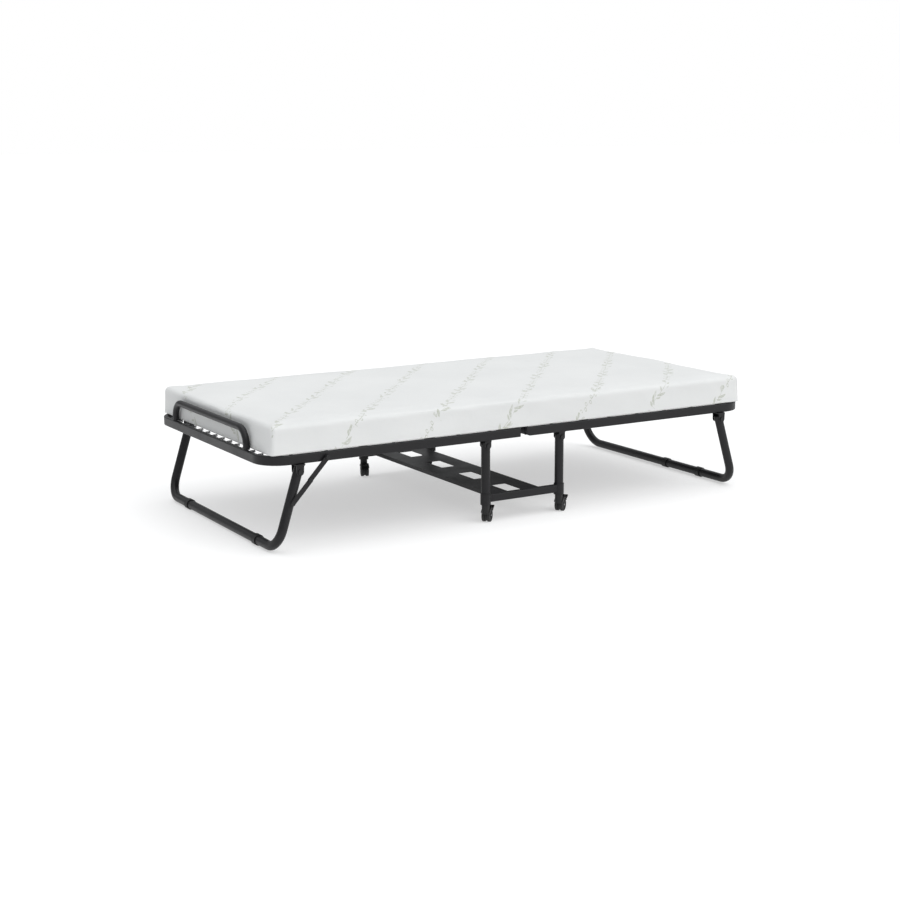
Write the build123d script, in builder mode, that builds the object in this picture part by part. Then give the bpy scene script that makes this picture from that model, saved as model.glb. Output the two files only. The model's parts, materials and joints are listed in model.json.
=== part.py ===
from build123d import *
import os
from math import sin, cos, asin, sqrt, radians, degrees, hypot, atan2, pi

# ---------------------------------------------------------------------------
# Folding cot. Millimetres, +Z up, +X along the length (head end at -X),
# origin on the floor under the middle of the bed.
# ---------------------------------------------------------------------------

# bed frame halves
FRAME_LENGTH = 1900.0      # over the two end rails
FRAME_WIDTH = 900.0        # over the two side rails
RAIL_W = 15.0              # rail tube, across
RAIL_H = 30.0              # rail tube, upright
RAIL_TOP = 310.0           # height of the rail's top face
CORNER_R = 86.0            # outer bend radius of the frame's end corners
INNER_END = {"head": 22.0, "foot": 3.0}   # each half's inner end, from the middle
RAIL_EDGE_R = 3.0

# centre frame
PIVOT_X = 147.0            # fold axis of each half, from the middle
PIVOT_Z = 262.5
POST_D = 30.0
POST_Y = 430.0
POST_BOTTOM = 70.0
LOWER_Z0, LOWER_Z1 = 70.0, 96.0   # lower side tube
LOWER_W = 20.0
PANEL_W = 194.0            # lower cross panel, along X
PANEL_Z = 84.0             # top face of the panel
PANEL_T = 2.0
PANEL_LIP = 14.0
WINDOW_L, WINDOW_W = 112.0, 56.0
WINDOW_PITCH = 221.0

# fold leg
LEG_D = 30.0
LEG_Y = 441.0
LEG_PIVOT_X = 834.0
LEG_PIVOT_Z = 257.0
LEG_FOOT_X = 909.6
LEG_FOOT_Z = 18.0
LEG_BEND_R = 65.0
LEG_STUB = 12.0            # tube above its pivot
SLEEVE_D = 36.0
SLEEVE_L = 25.0

# knee brace beside one leg of each pair
STAY_A = (740.0, 293.0)    # pivot on the rail, |x| and z
STAY_B = (863.0, 161.0)    # pivot on the leg
STAY_W = 16.0
STAY_T = 2.4
STAY_Y_IN = 456.6          # inner face of the upper link
STAY_Y_OUT = 459.3         # inner face of the lower link

# retaining bar at the head
BAR_D = 22.0
BAR_FOOT_Y = 294.0
BAR_TOP_Z = 374.0
BAR_R = 50.0
BAR_X = FRAME_LENGTH / 2 - BAR_D / 2 - 0.5

# casters
WHEEL_R = 22.0
TRAIL = 18.0
CASTER_TOP = 61.5
SOCKET_BOTTOM = 62.0

# mattress, deck and springs
FOAM_X = 925.0
FOAM_Y = 447.0
FOAM_TOP = 404.0
DECK_Z0, DECK_Z1 = 304.5, 306.5
DECK_GAP = 30.0            # from the deck's edge to the tube beside it
SPRING_D = 9.0
SPRING_Z = 303.5
SPRING_PITCH = 60.0

PIN_R = 4.0                # pivot bolts
RUN = 0.05                 # radial running clearance
PLATE = 2.5

YC = FRAME_WIDTH / 2 - RAIL_W / 2
XC = FRAME_LENGTH / 2 - RAIL_W / 2
RAIL_Z = RAIL_TOP - RAIL_H / 2
RAIL_BOTTOM = RAIL_TOP - RAIL_H
LEG_TILT = asin((LEG_FOOT_X - LEG_PIVOT_X) / hypot(LEG_FOOT_X - LEG_PIVOT_X, LEG_PIVOT_Z - LEG_FOOT_Z))
LEG_LEN = hypot(LEG_FOOT_X - LEG_PIVOT_X, LEG_PIVOT_Z - LEG_FOOT_Z)
KNEE = ((STAY_A[0] + STAY_B[0]) / 2, (STAY_A[1] + STAY_B[1]) / 2)

parts = {}


def keep(builder, name):
    builder.part.label = name
    parts[name] = builder.part


def side(y):
    """Upright plane along the bed at y; local x is +X, local y is +Z, normal is -Y."""
    return Plane(origin=(0, y, 0), x_dir=(1, 0, 0), z_dir=(0, -1, 0))


# ---------------------------------------------------------------- bed halves
for half, s in (("head", -1), ("foot", 1)):
    XI = INNER_END[half]
    # bent rail tube: two side rails and the end rail in one piece
    with BuildPart() as rail_tube:
        with BuildLine(Plane.XY.offset(RAIL_Z)) as route:
            FilletPolyline(
                (s * XI, -YC), (s * XC, -YC), (s * XC, YC), (s * XI, YC),
                radius=CORNER_R - RAIL_W / 2,
            )
        with BuildSketch(Plane(origin=route.line @ 0, x_dir=(0, 0, 1), z_dir=route.line % 0)):
            RectangleRounded(RAIL_H, RAIL_W, RAIL_EDGE_R)
        sweep()
        # underside of the inner ends is rounded on the foot half, barely on the head half
        end_r = 16.0 if s > 0 else 3.0
        with BuildSketch(side(FRAME_WIDTH)):
            with Locations((s * XI, RAIL_BOTTOM)):
                Rectangle(2 * end_r, 2 * end_r)
            with Locations((s * (XI + end_r), RAIL_BOTTOM + end_r)):
                Circle(end_r, mode=Mode.SUBTRACT)
            with Locations((s * (XI + 1.5 * end_r), RAIL_BOTTOM)):
                Rectangle(end_r, 4 * end_r, mode=Mode.SUBTRACT)
        extrude(amount=2 * FRAME_WIDTH, mode=Mode.SUBTRACT)
    keep(rail_tube, f"{half}_rail_tube")

    # cross tube that closes the ring at the inner end
    with BuildPart() as cross:
        with BuildSketch(Plane(origin=(s * (XI + RAIL_W / 2), FRAME_WIDTH / 2 - RAIL_W, RAIL_Z + 1), x_dir=(0, 0, 1), z_dir=(0, -1, 0))):
            RectangleRounded(RAIL_H - 4, RAIL_W, RAIL_EDGE_R)
        extrude(amount=FRAME_WIDTH - 2 * RAIL_W)
    keep(cross, f"{half}_cross_tube")

    # clevis under each rail that takes the centre post
    with BuildPart() as clevis:
        for y in (-POST_Y, POST_Y):
            lo, hi = y - POST_D / 2 - 0.5 - PLATE, y + POST_D / 2 + 0.5 + PLATE
            with BuildSketch(side(hi)):
                with BuildLine():
                    Polyline(
                        (s * PIVOT_X - 12.5, RAIL_BOTTOM), (s * PIVOT_X - 11, RAIL_BOTTOM - 5),
                        (s * PIVOT_X - 11, PIVOT_Z),
                    )
                    ThreePointArc((s * PIVOT_X - 11, PIVOT_Z), (s * PIVOT_X, PIVOT_Z - 11), (s * PIVOT_X + 11, PIVOT_Z))
                    Polyline(
                        (s * PIVOT_X + 11, PIVOT_Z), (s * PIVOT_X + 11, RAIL_BOTTOM - 5),
                        (s * PIVOT_X + 12.5, RAIL_BOTTOM), (s * PIVOT_X - 12.5, RAIL_BOTTOM),
                    )
                make_face()
            extrude(amount=hi - lo)
            with BuildSketch(side(hi - PLATE)):
                with Locations((s * PIVOT_X, RAIL_BOTTOM - 2 - 20)):
                    Rectangle(60, 40)
            extrude(amount=hi - lo - 2 * PLATE, mode=Mode.SUBTRACT)
        with BuildSketch(side(FRAME_WIDTH)):
            with Locations((s * PIVOT_X, PIVOT_Z)):
                Circle(PIN_R)
        extrude(amount=2 * FRAME_WIDTH, mode=Mode.SUBTRACT)
    keep(clevis, f"{half}_fold_clevises")

    # fold pivot bolt with its head outside and nut inside, one each side
    with BuildPart() as bolts:
        for side_sign in (-1, 1):
            y_in = side_sign * (POST_Y - POST_D / 2 - 0.5 - PLATE)
            y_out = side_sign * (POST_Y + POST_D / 2 + 0.5 + PLATE)
            with BuildSketch(side(max(y_in - side_sign * 6, y_out))):
                with Locations((s * PIVOT_X, PIVOT_Z)):
                    Circle(PIN_R)
            extrude(amount=abs(y_out - y_in) + 6)
            head0, head1 = sorted((y_out, y_out + side_sign * 4.5))
            with BuildSketch(side(head1)):
                with Locations((s * PIVOT_X, PIVOT_Z)):
                    Circle(8.0)
            extrude(amount=head1 - head0)
            nut0, nut1 = sorted((y_in, y_in - side_sign * 6))
            with BuildSketch(side(nut1)):
                with Locations((s * PIVOT_X, PIVOT_Z)):
                    RegularPolygon(7.5, 6)
            extrude(amount=nut1 - nut0)
    keep(bolts, f"{half}_fold_bolts")

    # leg bracket: folded channel under each rail
    with BuildPart() as bracket:
        for y in (-LEG_Y, LEG_Y):
            lo, hi = y - LEG_D / 2 - 0.5 - PLATE, y + LEG_D / 2 + 0.5 + PLATE
            px, pz = s * LEG_PIVOT_X, LEG_PIVOT_Z
            with BuildSketch(side(hi)):
                with BuildLine():
                    Polyline((px - s * 18, RAIL_BOTTOM), (px - s * 13, RAIL_BOTTOM - 7), (px - s * 12.5, pz))
                    ThreePointArc((px - s * 12.5, pz), (px, pz - 12.5), (px + s * 12.5, pz))
                    Polyline((px + s * 12.5, pz), (px + s * 13, RAIL_BOTTOM - 7), (px + s * 14, RAIL_BOTTOM), (px - s * 18, RAIL_BOTTOM))
                make_face()
            extrude(amount=hi - lo)
            with BuildSketch(side(hi - PLATE)):
                with Locations((px, RAIL_BOTTOM - 2.2 - 25)):
                    Rectangle(80, 50)
            extrude(amount=hi - lo - 2 * PLATE, mode=Mode.SUBTRACT)
        with BuildSketch(side(FRAME_WIDTH)):
            with Locations((s * LEG_PIVOT_X, LEG_PIVOT_Z)):
                Circle(PIN_R)
        extrude(amount=2 * FRAME_WIDTH, mode=Mode.SUBTRACT)
    keep(bracket, f"{half}_leg_brackets")

    # leg pivot bolts
    with BuildPart() as leg_bolts:
        for side_sign in (-1, 1):
            y_in = side_sign * (LEG_Y - LEG_D / 2 - 0.5 - PLATE)
            y_out = side_sign * (LEG_Y + LEG_D / 2 + 0.5 + PLATE)
            with BuildSketch(side(max(y_in - side_sign * 6, y_out))):
                with Locations((s * LEG_PIVOT_X, LEG_PIVOT_Z)):
                    Circle(PIN_R)
            extrude(amount=abs(y_out - y_in) + 6)
            head0, head1 = sorted((y_out, y_out + side_sign * 4.0))
            with BuildSketch(side(head1)):
                with Locations((s * LEG_PIVOT_X, LEG_PIVOT_Z)):
                    Circle(8.0)
            extrude(amount=head1 - head0)
            nut0, nut1 = sorted((y_in, y_in - side_sign * 6))
            with BuildSketch(side(nut1)):
                with Locations((s * LEG_PIVOT_X, LEG_PIVOT_Z)):
                    RegularPolygon(7.5, 6)
            extrude(amount=nut1 - nut0)
    keep(leg_bolts, f"{half}_leg_bolts")

    # deck cloth, held by springs all round
    x_out = s * (FRAME_LENGTH / 2 - RAIL_W - DECK_GAP)
    x_in = s * (XI + RAIL_W + DECK_GAP)
    deck_y = FRAME_WIDTH / 2 - RAIL_W - DECK_GAP
    with BuildPart() as deck:
        with BuildSketch(Plane.XY.offset(DECK_Z0)):
            with Locations(((x_in + x_out) / 2, 0)):
                RectangleRounded(abs(x_out - x_in), 2 * deck_y, 40)
        extrude(amount=DECK_Z1 - DECK_Z0)
    keep(deck, f"{half}_deck_cloth")

    # tension springs, as the plain outer cylinder of each coil
    with BuildPart() as springs:
        n_end = 13
        ends = [SPRING_PITCH * (i - (n_end - 1) / 2) for i in range(n_end)]
        gap = DECK_GAP
        with BuildSketch(Plane(origin=(s * (FRAME_LENGTH / 2 - RAIL_W), 0, SPRING_Z), x_dir=(0, 1, 0), z_dir=(-s, 0, 0))):
            with Locations(*[(y, 0) for y in ends]):
                Circle(SPRING_D / 2)
        extrude(amount=gap)
        with BuildSketch(Plane(origin=(s * (XI + RAIL_W), 0, SPRING_Z), x_dir=(0, 1, 0), z_dir=(s, 0, 0))):
            with Locations(*[(y, 0) for y in ends[::2]]):
                Circle(SPRING_D / 2)
        extrude(amount=gap)
        runs = [s * (124.0 + 2 * SPRING_PITCH * i) for i in range(7)]
        for side_sign in (-1, 1):
            with BuildSketch(Plane(origin=(0, side_sign * (FRAME_WIDTH / 2 - RAIL_W), SPRING_Z), x_dir=(1, 0, 0), z_dir=(0, -side_sign, 0))):
                with Locations(*[(x, 0) for x in runs]):
                    Circle(SPRING_D / 2)
            extrude(amount=gap)
        # the coils hook into the cloth's edge, which is cut out of their ends
        with BuildSketch(Plane.XY.offset(DECK_Z0)):
            with Locations(((x_in + x_out) / 2, 0)):
                RectangleRounded(abs(x_out - x_in), 2 * deck_y, 40)
        extrude(amount=DECK_Z1 - DECK_Z0, mode=Mode.SUBTRACT)
    keep(springs, f"{half}_deck_springs")

    # foam mattress half; its inner end is an arc about the fold axis
    with BuildPart() as foam:
        with BuildSketch(side(FOAM_Y)):
            with Locations(((s * FOAM_X + s * 5) / 2, (RAIL_TOP + FOAM_TOP) / 2)):
                Rectangle(FOAM_X - 5, FOAM_TOP - RAIL_TOP)
        extrude(amount=2 * FOAM_Y)
        with BuildSketch(side(FOAM_Y)):
            with Locations((s * 40, (RAIL_TOP + FOAM_TOP) / 2)):
                Rectangle(220, 2 * FOAM_TOP)
            with Locations((s * PIVOT_X, PIVOT_Z)):
                Circle(145.0, mode=Mode.SUBTRACT)
        extrude(amount=2 * FOAM_Y, mode=Mode.SUBTRACT)
        fillet(foam.edges().filter_by(Axis.Z).group_by(Axis.X)[-1 if s > 0 else 0], radius=18)
    keep(foam, f"{half}_mattress")

    # ------------------------------------------------------------ fold legs
    leg_up = (-s * sin(LEG_TILT), 0, cos(LEG_TILT))
    leg_plane = Plane(origin=(s * LEG_PIVOT_X, 0, LEG_PIVOT_Z), x_dir=(0, 1, 0), z_dir=(cos(LEG_TILT), 0, s * sin(LEG_TILT)))
    with BuildPart() as leg:
        with BuildLine(leg_plane) as route:
            FilletPolyline(
                (-LEG_Y, LEG_STUB), (-LEG_Y, -LEG_LEN), (LEG_Y, -LEG_LEN), (LEG_Y, LEG_STUB),
                radius=LEG_BEND_R,
            )
        with BuildSketch(Plane(origin=route.line @ 0, z_dir=route.line % 0)):
            Circle(LEG_D / 2)
        sweep()
        with BuildSketch(side(FRAME_WIDTH)):
            with Locations((s * LEG_PIVOT_X, LEG_PIVOT_Z)):
                Circle(PIN_R + RUN)
        extrude(amount=2 * FRAME_WIDTH, mode=Mode.SUBTRACT)
        # blind hole for the brace's stud, from the outer side
        y_wall = s * (LEG_Y + LEG_D / 2)
        y_deep = s * (LEG_Y - 6)
        with BuildSketch(side(max(y_wall, y_deep))):
            with Locations((s * STAY_B[0], STAY_B[1])):
                Circle(PIN_R)
        extrude(amount=abs(y_wall - y_deep), mode=Mode.SUBTRACT)
    keep(leg, f"{half}_leg_tube")

    # floor sleeves slipped on the leg's cross bar
    sleeve_ys = (-293.0, 268.0) if s < 0 else (-254.0, -58.0)
    with BuildPart() as sleeves:
        for y in sleeve_ys:
            with BuildSketch(side(y + SLEEVE_L / 2)):
                with Locations((s * LEG_FOOT_X, LEG_FOOT_Z)):
                    Circle(SLEEVE_D / 2)
                    Circle(LEG_D / 2, mode=Mode.SUBTRACT)
            extrude(amount=SLEEVE_L)
    keep(sleeves, f"{half}_floor_sleeves")

    # ---------------------------------------------------------- knee brace
    # studs: one on the rail, one on the leg
    with BuildPart() as rail_stud:
        for a, b, r in ((FRAME_WIDTH / 2, STAY_Y_IN - 0.3, 7.0), (STAY_Y_IN - 0.3, STAY_Y_IN + STAY_T + 0.3, PIN_R),
                        (STAY_Y_IN + STAY_T + 0.3, STAY_Y_IN + STAY_T + 3.3, 7.0)):
            lo, hi = sorted((s * a, s * b))
            with BuildSketch(side(hi)):
                with Locations((s * STAY_A[0], STAY_A[1])):
                    Circle(r)
            extrude(amount=hi - lo)
    keep(rail_stud, f"{half}_stay_rail_stud")

    with BuildPart() as leg_stud:
        for a, b, r in ((LEG_Y - 6, LEG_Y + LEG_D / 2, PIN_R), (LEG_Y + LEG_D / 2, STAY_Y_OUT - 0.3, 7.0),
                        (STAY_Y_OUT - 0.3, STAY_Y_OUT + STAY_T + 0.3, PIN_R),
                        (STAY_Y_OUT + STAY_T + 0.3, STAY_Y_OUT + STAY_T + 3.3, 7.0)):
            lo, hi = sorted((s * a, s * b))
            with BuildSketch(side(hi)):
                with Locations((s * STAY_B[0], STAY_B[1])):
                    Circle(r)
            extrude(amount=hi - lo)
    keep(leg_stud, f"{half}_stay_leg_stud")

    link_len = hypot(STAY_A[0] - KNEE[0], STAY_A[1] - KNEE[1])
    for link, end, y0 in (("upper", STAY_A, STAY_Y_IN), ("lower", STAY_B, STAY_Y_OUT)):
        lo, hi = sorted((s * y0, s * (y0 + STAY_T)))
        ang = degrees(atan2(KNEE[1] - end[1], s * (KNEE[0] - end[0])))
        mid = (s * (KNEE[0] + end[0]) / 2, (KNEE[1] + end[1]) / 2)
        with BuildPart() as bar:
            with BuildSketch(side(hi)):
                with Locations(Location((mid[0], mid[1], 0), (0, 0, ang))):
                    SlotCenterToCenter(link_len, STAY_W)
                with Locations((s * end[0], end[1])):
                    Circle(PIN_R + RUN, mode=Mode.SUBTRACT)
            extrude(amount=hi - lo)
            if link == "lower":
                # the knee's rivet hole
                with BuildSketch(side(hi)):
                    with Locations((s * KNEE[0], KNEE[1])):
                        Circle(PIN_R)
                extrude(amount=hi - lo, mode=Mode.SUBTRACT)
        keep(bar, f"{half}_stay_{link}_link")

    # knee rivet: sits in the lower link, domed outside
    lo, hi = sorted((s * STAY_Y_OUT, s * (STAY_Y_OUT + STAY_T)))
    with BuildPart() as rivet:
        with BuildSketch(side(hi)):
            with Locations((s * KNEE[0], KNEE[1])):
                Circle(PIN_R)
        extrude(amount=hi - lo)
        h0, h1 = sorted((s * (STAY_Y_OUT + STAY_T), s * (STAY_Y_OUT + STAY_T + 2.8)))
        with BuildSketch(side(h1)):
            with Locations((s * KNEE[0], KNEE[1])):
                Circle(7.0)
        extrude(amount=h1 - h0)
    keep(rivet, f"{half}_stay_knee_rivet")

# retaining bar that keeps the mattress from sliding off the head end
with BuildPart() as bar:
    with BuildLine(Plane(origin=(-BAR_X, 0, 0), x_dir=(0, 1, 0), z_dir=(1, 0, 0))) as route:
        FilletPolyline(
            (-BAR_FOOT_Y, RAIL_TOP), (-BAR_FOOT_Y, BAR_TOP_Z), (BAR_FOOT_Y, BAR_TOP_Z), (BAR_FOOT_Y, RAIL_TOP),
            radius=BAR_R,
        )
    with BuildSketch(Plane(origin=route.line @ 0, z_dir=route.line % 0)):
        Circle(BAR_D / 2)
    sweep()
keep(bar, "mattress_retaining_bar")

# -------------------------------------------------------------- centre frame
for half, s in (("head", -1), ("foot", 1)):
    for where, t in (("near", -1), ("far", 1)):
        x, y = s * PIVOT_X, t * POST_Y
        with BuildPart() as post:
            with BuildSketch(Plane.XY.offset(POST_BOTTOM)):
                with Locations((x, y)):
                    Circle(POST_D / 2)
            extrude(amount=PIVOT_Z + POST_D / 2 - POST_BOTTOM)
            # top end rounded about the fold axis
            with BuildSketch(side(y + POST_D)):
                with Locations((x, PIVOT_Z + POST_D / 2)):
                    Rectangle(2 * POST_D, POST_D)
                with Locations((x, PIVOT_Z)):
                    Circle(POST_D / 2, mode=Mode.SUBTRACT)
            extrude(amount=2 * POST_D, mode=Mode.SUBTRACT)
            with BuildSketch(side(y + POST_D)):
                with Locations((x, PIVOT_Z)):
                    Circle(PIN_R + RUN)
            extrude(amount=2 * POST_D, mode=Mode.SUBTRACT)
            # hollow foot of the post takes the caster's stem
            with BuildSketch(Plane.XY.offset(POST_BOTTOM)):
                with Locations((x, y)):
                    Circle(8.0)
            extrude(amount=32, mode=Mode.SUBTRACT)
        keep(post, f"{where}_{half}_post")

# ferrules on the feet of the posts
with BuildPart() as ferrules:
    for x in (-PIVOT_X, PIVOT_X):
        for y in (-POST_Y, POST_Y):
            with BuildSketch(Plane.XY.offset(SOCKET_BOTTOM)):
                with Locations((x, y)):
                    Circle(POST_D / 2 + 2.5)
            extrude(amount=100 - SOCKET_BOTTOM)
            with BuildSketch(Plane.XY.offset(POST_BOTTOM)):
                with Locations((x, y)):
                    Circle(POST_D / 2)
            extrude(amount=40, mode=Mode.SUBTRACT)
            with BuildSketch(Plane.XY.offset(SOCKET_BOTTOM)):
                with Locations((x, y)):
                    Circle(5.0 + RUN)
            extrude(amount=20, mode=Mode.SUBTRACT)
keep(ferrules, "caster_ferrules")

for where, t in (("near", -1), ("far", 1)):
    with BuildPart() as lower:
        with BuildSketch(Plane(origin=(-PIVOT_X, t * POST_Y, (LOWER_Z0 + LOWER_Z1) / 2), x_dir=(0, 1, 0), z_dir=(1, 0, 0))):
            RectangleRounded(LOWER_W, LOWER_Z1 - LOWER_Z0, 3)
        extrude(amount=2 * PIVOT_X)
        with BuildSketch(Plane.XY.offset(LOWER_Z0 - 10)):
            with Locations((-PIVOT_X, t * POST_Y), (PIVOT_X, t * POST_Y)):
                Circle(POST_D / 2 + 2.5)
        extrude(amount=60, mode=Mode.SUBTRACT)
    keep(lower, f"{where}_lower_tube")

# pressed cross panel with four windows and turned-down edges
panel_y = POST_Y - LOWER_W / 2
with BuildPart() as panel:
    with BuildSketch(Plane.XY.offset(PANEL_Z - PANEL_LIP)):
        Rectangle(PANEL_W, 2 * panel_y)
    extrude(amount=PANEL_LIP)
    with BuildSketch(Plane.XY.offset(PANEL_Z - PANEL_LIP)):
        Rectangle(PANEL_W - 2 * PANEL_T, 2 * panel_y)
    extrude(amount=PANEL_LIP - PANEL_T, mode=Mode.SUBTRACT)
    windows = [(0, WINDOW_PITCH * (i - 1.5)) for i in range(4)]
    with BuildSketch(Plane.XY.offset(PANEL_Z - 10)):
        with Locations(*windows):
            RectangleRounded(WINDOW_W, WINDOW_L, 4)
    extrude(amount=20, mode=Mode.SUBTRACT)
keep(panel, "lower_cross_panel")

# middle of the mattress, over the gap, which creases as a half folds
with BuildPart() as middle:
    with BuildSketch(side(FOAM_Y)):
        with Locations((0, (RAIL_TOP + 0.3 + FOAM_TOP) / 2)):
            Rectangle(2 * 116, FOAM_TOP - RAIL_TOP - 0.3)
        with Locations((-PIVOT_X, PIVOT_Z), (PIVOT_X, PIVOT_Z)):
            Circle(145.3, mode=Mode.SUBTRACT)
    extrude(amount=2 * FOAM_Y)
keep(middle, "middle_mattress")

# -------------------------------------------------------------- casters
CASTERS = (
    ("near_head", -PIVOT_X, -POST_Y, 42.0, True),
    ("near_foot", PIVOT_X, -POST_Y, 36.0, True),
    ("far_head", -PIVOT_X, POST_Y, -110.0, False),
    ("far_foot", PIVOT_X, POST_Y, 150.0, False),
)
PEDAL_PIVOT = 58.0         # angle of the pedal's pivot round the axle
PEDAL_R = 30.0
for name, x, y, heading, brake in CASTERS:
    c, w = cos(radians(heading)), sin(radians(heading))
    # local frame: u along the trail, v across, both level
    across = Plane(origin=(x, y, 0), x_dir=(c, w, 0), z_dir=(w, -c, 0))  # local x = u, local y = Z

    def at(v, across=across):
        return across.offset(v)

    with BuildPart() as body:
        # hood over both wheels
        with BuildSketch(at(-15.2)):
            with Locations((TRAIL, WHEEL_R)):
                Circle(26.0)
                Circle(23.0, mode=Mode.SUBTRACT)
            with Locations((TRAIL, WHEEL_R - 30)):
                Rectangle(80, 60 + 2 * 12, mode=Mode.SUBTRACT)
        extrude(amount=30.4)
        # boss and stem
        with BuildSketch(Plane.XY.offset(30)):
            with Locations((x, y)):
                Circle(13.0)
        extrude(amount=CASTER_TOP - 30)
        # wheel wells
        with BuildSketch(at(-20)):
            with Locations((TRAIL, WHEEL_R)):
                Circle(23.0)
        extrude(amount=40, mode=Mode.SUBTRACT)
        # centre web between the wheels
        with BuildSketch(at(-3.4)):
            with Locations((TRAIL, WHEEL_R)):
                Circle(23.5)
            with Locations((0, 12)):
                Rectangle(200, 30, mode=Mode.SUBTRACT)
            with Locations((TRAIL, WHEEL_R)):
                Circle(19.0)
        extrude(amount=6.8)
        with BuildSketch(Plane.XY.offset(CASTER_TOP - 1)):
            with Locations((x, y)):
                Circle(5.0)
        extrude(amount=34)
        with BuildSketch(at(-20)):
            with Locations((TRAIL, WHEEL_R)):
                Circle(3.0)
        extrude(amount=40, mode=Mode.SUBTRACT)
        if brake:
            pu = TRAIL + PEDAL_R * cos(radians(PEDAL_PIVOT))
            pz = WHEEL_R + PEDAL_R * sin(radians(PEDAL_PIVOT))
            for v in (-11.0, 7.8):
                with BuildSketch(at(v)):
                    with Locations(Location((TRAIL + 27 * cos(radians(PEDAL_PIVOT)), WHEEL_R + 27 * sin(radians(PEDAL_PIVOT)), 0), (0, 0, PEDAL_PIVOT))):
                        Rectangle(6, 8)
                    with Locations((pu, pz)):
                        Circle(4.0)
                        Circle(2.0 + RUN, mode=Mode.SUBTRACT)
                extrude(amount=3.2)
    keep(body, f"{name}_caster_body")

    with BuildPart() as axle:
        with BuildSketch(at(-14.8)):
            with Locations((TRAIL, WHEEL_R)):
                Circle(3.0)
        extrude(amount=29.6)
    keep(axle, f"{name}_caster_axle")

    with BuildPart() as wheels:
        for v in (-14.0, 4.0):
            with BuildSketch(at(v)):
                with Locations((TRAIL, WHEEL_R)):
                    Circle(WHEEL_R)
                    Circle(3.0 + RUN, mode=Mode.SUBTRACT)
            extrude(amount=10.0)
        rims = wheels.edges().filter_by(GeomType.CIRCLE).filter_by(lambda e: abs(e.radius - WHEEL_R) < 0.01)
        fillet(rims, radius=1.6)
        # dished outer faces
        for v0, v1 in ((-14.2, -12.4), (12.4, 14.2)):
            with BuildSketch(at(v0)):
                with Locations((TRAIL, WHEEL_R)):
                    Circle(16.0)
                    Circle(6.5, mode=Mode.SUBTRACT)
            extrude(amount=v1 - v0, mode=Mode.SUBTRACT)
    keep(wheels, f"{name}_caster_wheels")

    if brake:
        with BuildPart() as pedal:
            with BuildSketch(at(-7.3)):
                # curved arm that follows the hood, then a foot tab that sticks out
                with BuildLine():
                    CenterArc((TRAIL, WHEEL_R), 28.3, 14, PEDAL_PIVOT - 14 + 2)
                    CenterArc((TRAIL, WHEEL_R), 31.3, 14, PEDAL_PIVOT - 14 + 2)
                    Line((TRAIL + 28.3 * cos(radians(14)), WHEEL_R + 28.3 * sin(radians(14))),
                         (TRAIL + 31.3 * cos(radians(14)), WHEEL_R + 31.3 * sin(radians(14))))
                    Line((TRAIL + 28.3 * cos(radians(PEDAL_PIVOT + 2)), WHEEL_R + 28.3 * sin(radians(PEDAL_PIVOT + 2))),
                         (TRAIL + 31.3 * cos(radians(PEDAL_PIVOT + 2)), WHEEL_R + 31.3 * sin(radians(PEDAL_PIVOT + 2))))
                make_face()
                with Locations((pu, pz)):
                    Circle(3.2)
            extrude(amount=14.6)
            # wide foot tab that sticks out and up behind the wheels
            with BuildSketch(at(-15.0)):
                with BuildLine():
                    Polyline(
                        (TRAIL + 29.0 * cos(radians(44)), WHEEL_R + 29.0 * sin(radians(44))),
                        (TRAIL + 36.0, WHEEL_R + 27.5), (TRAIL + 39.0, WHEEL_R + 25.0),
                        (TRAIL + 29.0 * cos(radians(33)), WHEEL_R + 29.0 * sin(radians(33))),
                        (TRAIL + 29.0 * cos(radians(44)), WHEEL_R + 29.0 * sin(radians(44))),
                    )
                make_face()
            extrude(amount=30)
            with BuildSketch(at(-10.6)):
                with Locations((pu, pz)):
                    Circle(2.0)
            extrude(amount=21.2)
        keep(pedal, f"{name}_brake_pedal")

os.makedirs("parts", exist_ok=True)
for name, solid in parts.items():
    export_step(solid, f"parts/{name}.step")
print(len(parts), "nodes")
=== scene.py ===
import bpy, bmesh, json, math, random
import numpy as np
from mathutils import Vector, Matrix


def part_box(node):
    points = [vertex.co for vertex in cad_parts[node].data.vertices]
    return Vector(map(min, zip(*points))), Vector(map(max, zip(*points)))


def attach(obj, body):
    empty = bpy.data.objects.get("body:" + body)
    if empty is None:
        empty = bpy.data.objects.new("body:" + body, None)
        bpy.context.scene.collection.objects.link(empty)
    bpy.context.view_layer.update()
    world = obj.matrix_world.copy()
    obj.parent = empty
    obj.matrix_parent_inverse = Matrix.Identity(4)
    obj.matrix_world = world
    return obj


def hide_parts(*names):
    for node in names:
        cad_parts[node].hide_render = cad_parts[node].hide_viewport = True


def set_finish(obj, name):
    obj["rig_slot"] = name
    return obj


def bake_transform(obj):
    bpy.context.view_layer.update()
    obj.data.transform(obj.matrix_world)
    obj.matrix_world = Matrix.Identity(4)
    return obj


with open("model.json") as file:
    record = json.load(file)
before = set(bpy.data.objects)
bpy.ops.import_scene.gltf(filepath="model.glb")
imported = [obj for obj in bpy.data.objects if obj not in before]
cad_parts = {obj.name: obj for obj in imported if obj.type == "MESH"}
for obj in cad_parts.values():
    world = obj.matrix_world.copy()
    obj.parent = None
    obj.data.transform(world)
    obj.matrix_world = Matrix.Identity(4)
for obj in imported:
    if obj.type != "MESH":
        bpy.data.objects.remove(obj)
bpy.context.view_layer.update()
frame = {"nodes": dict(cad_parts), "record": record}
scene = bpy.context.scene
nodes = frame["nodes"]

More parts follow.
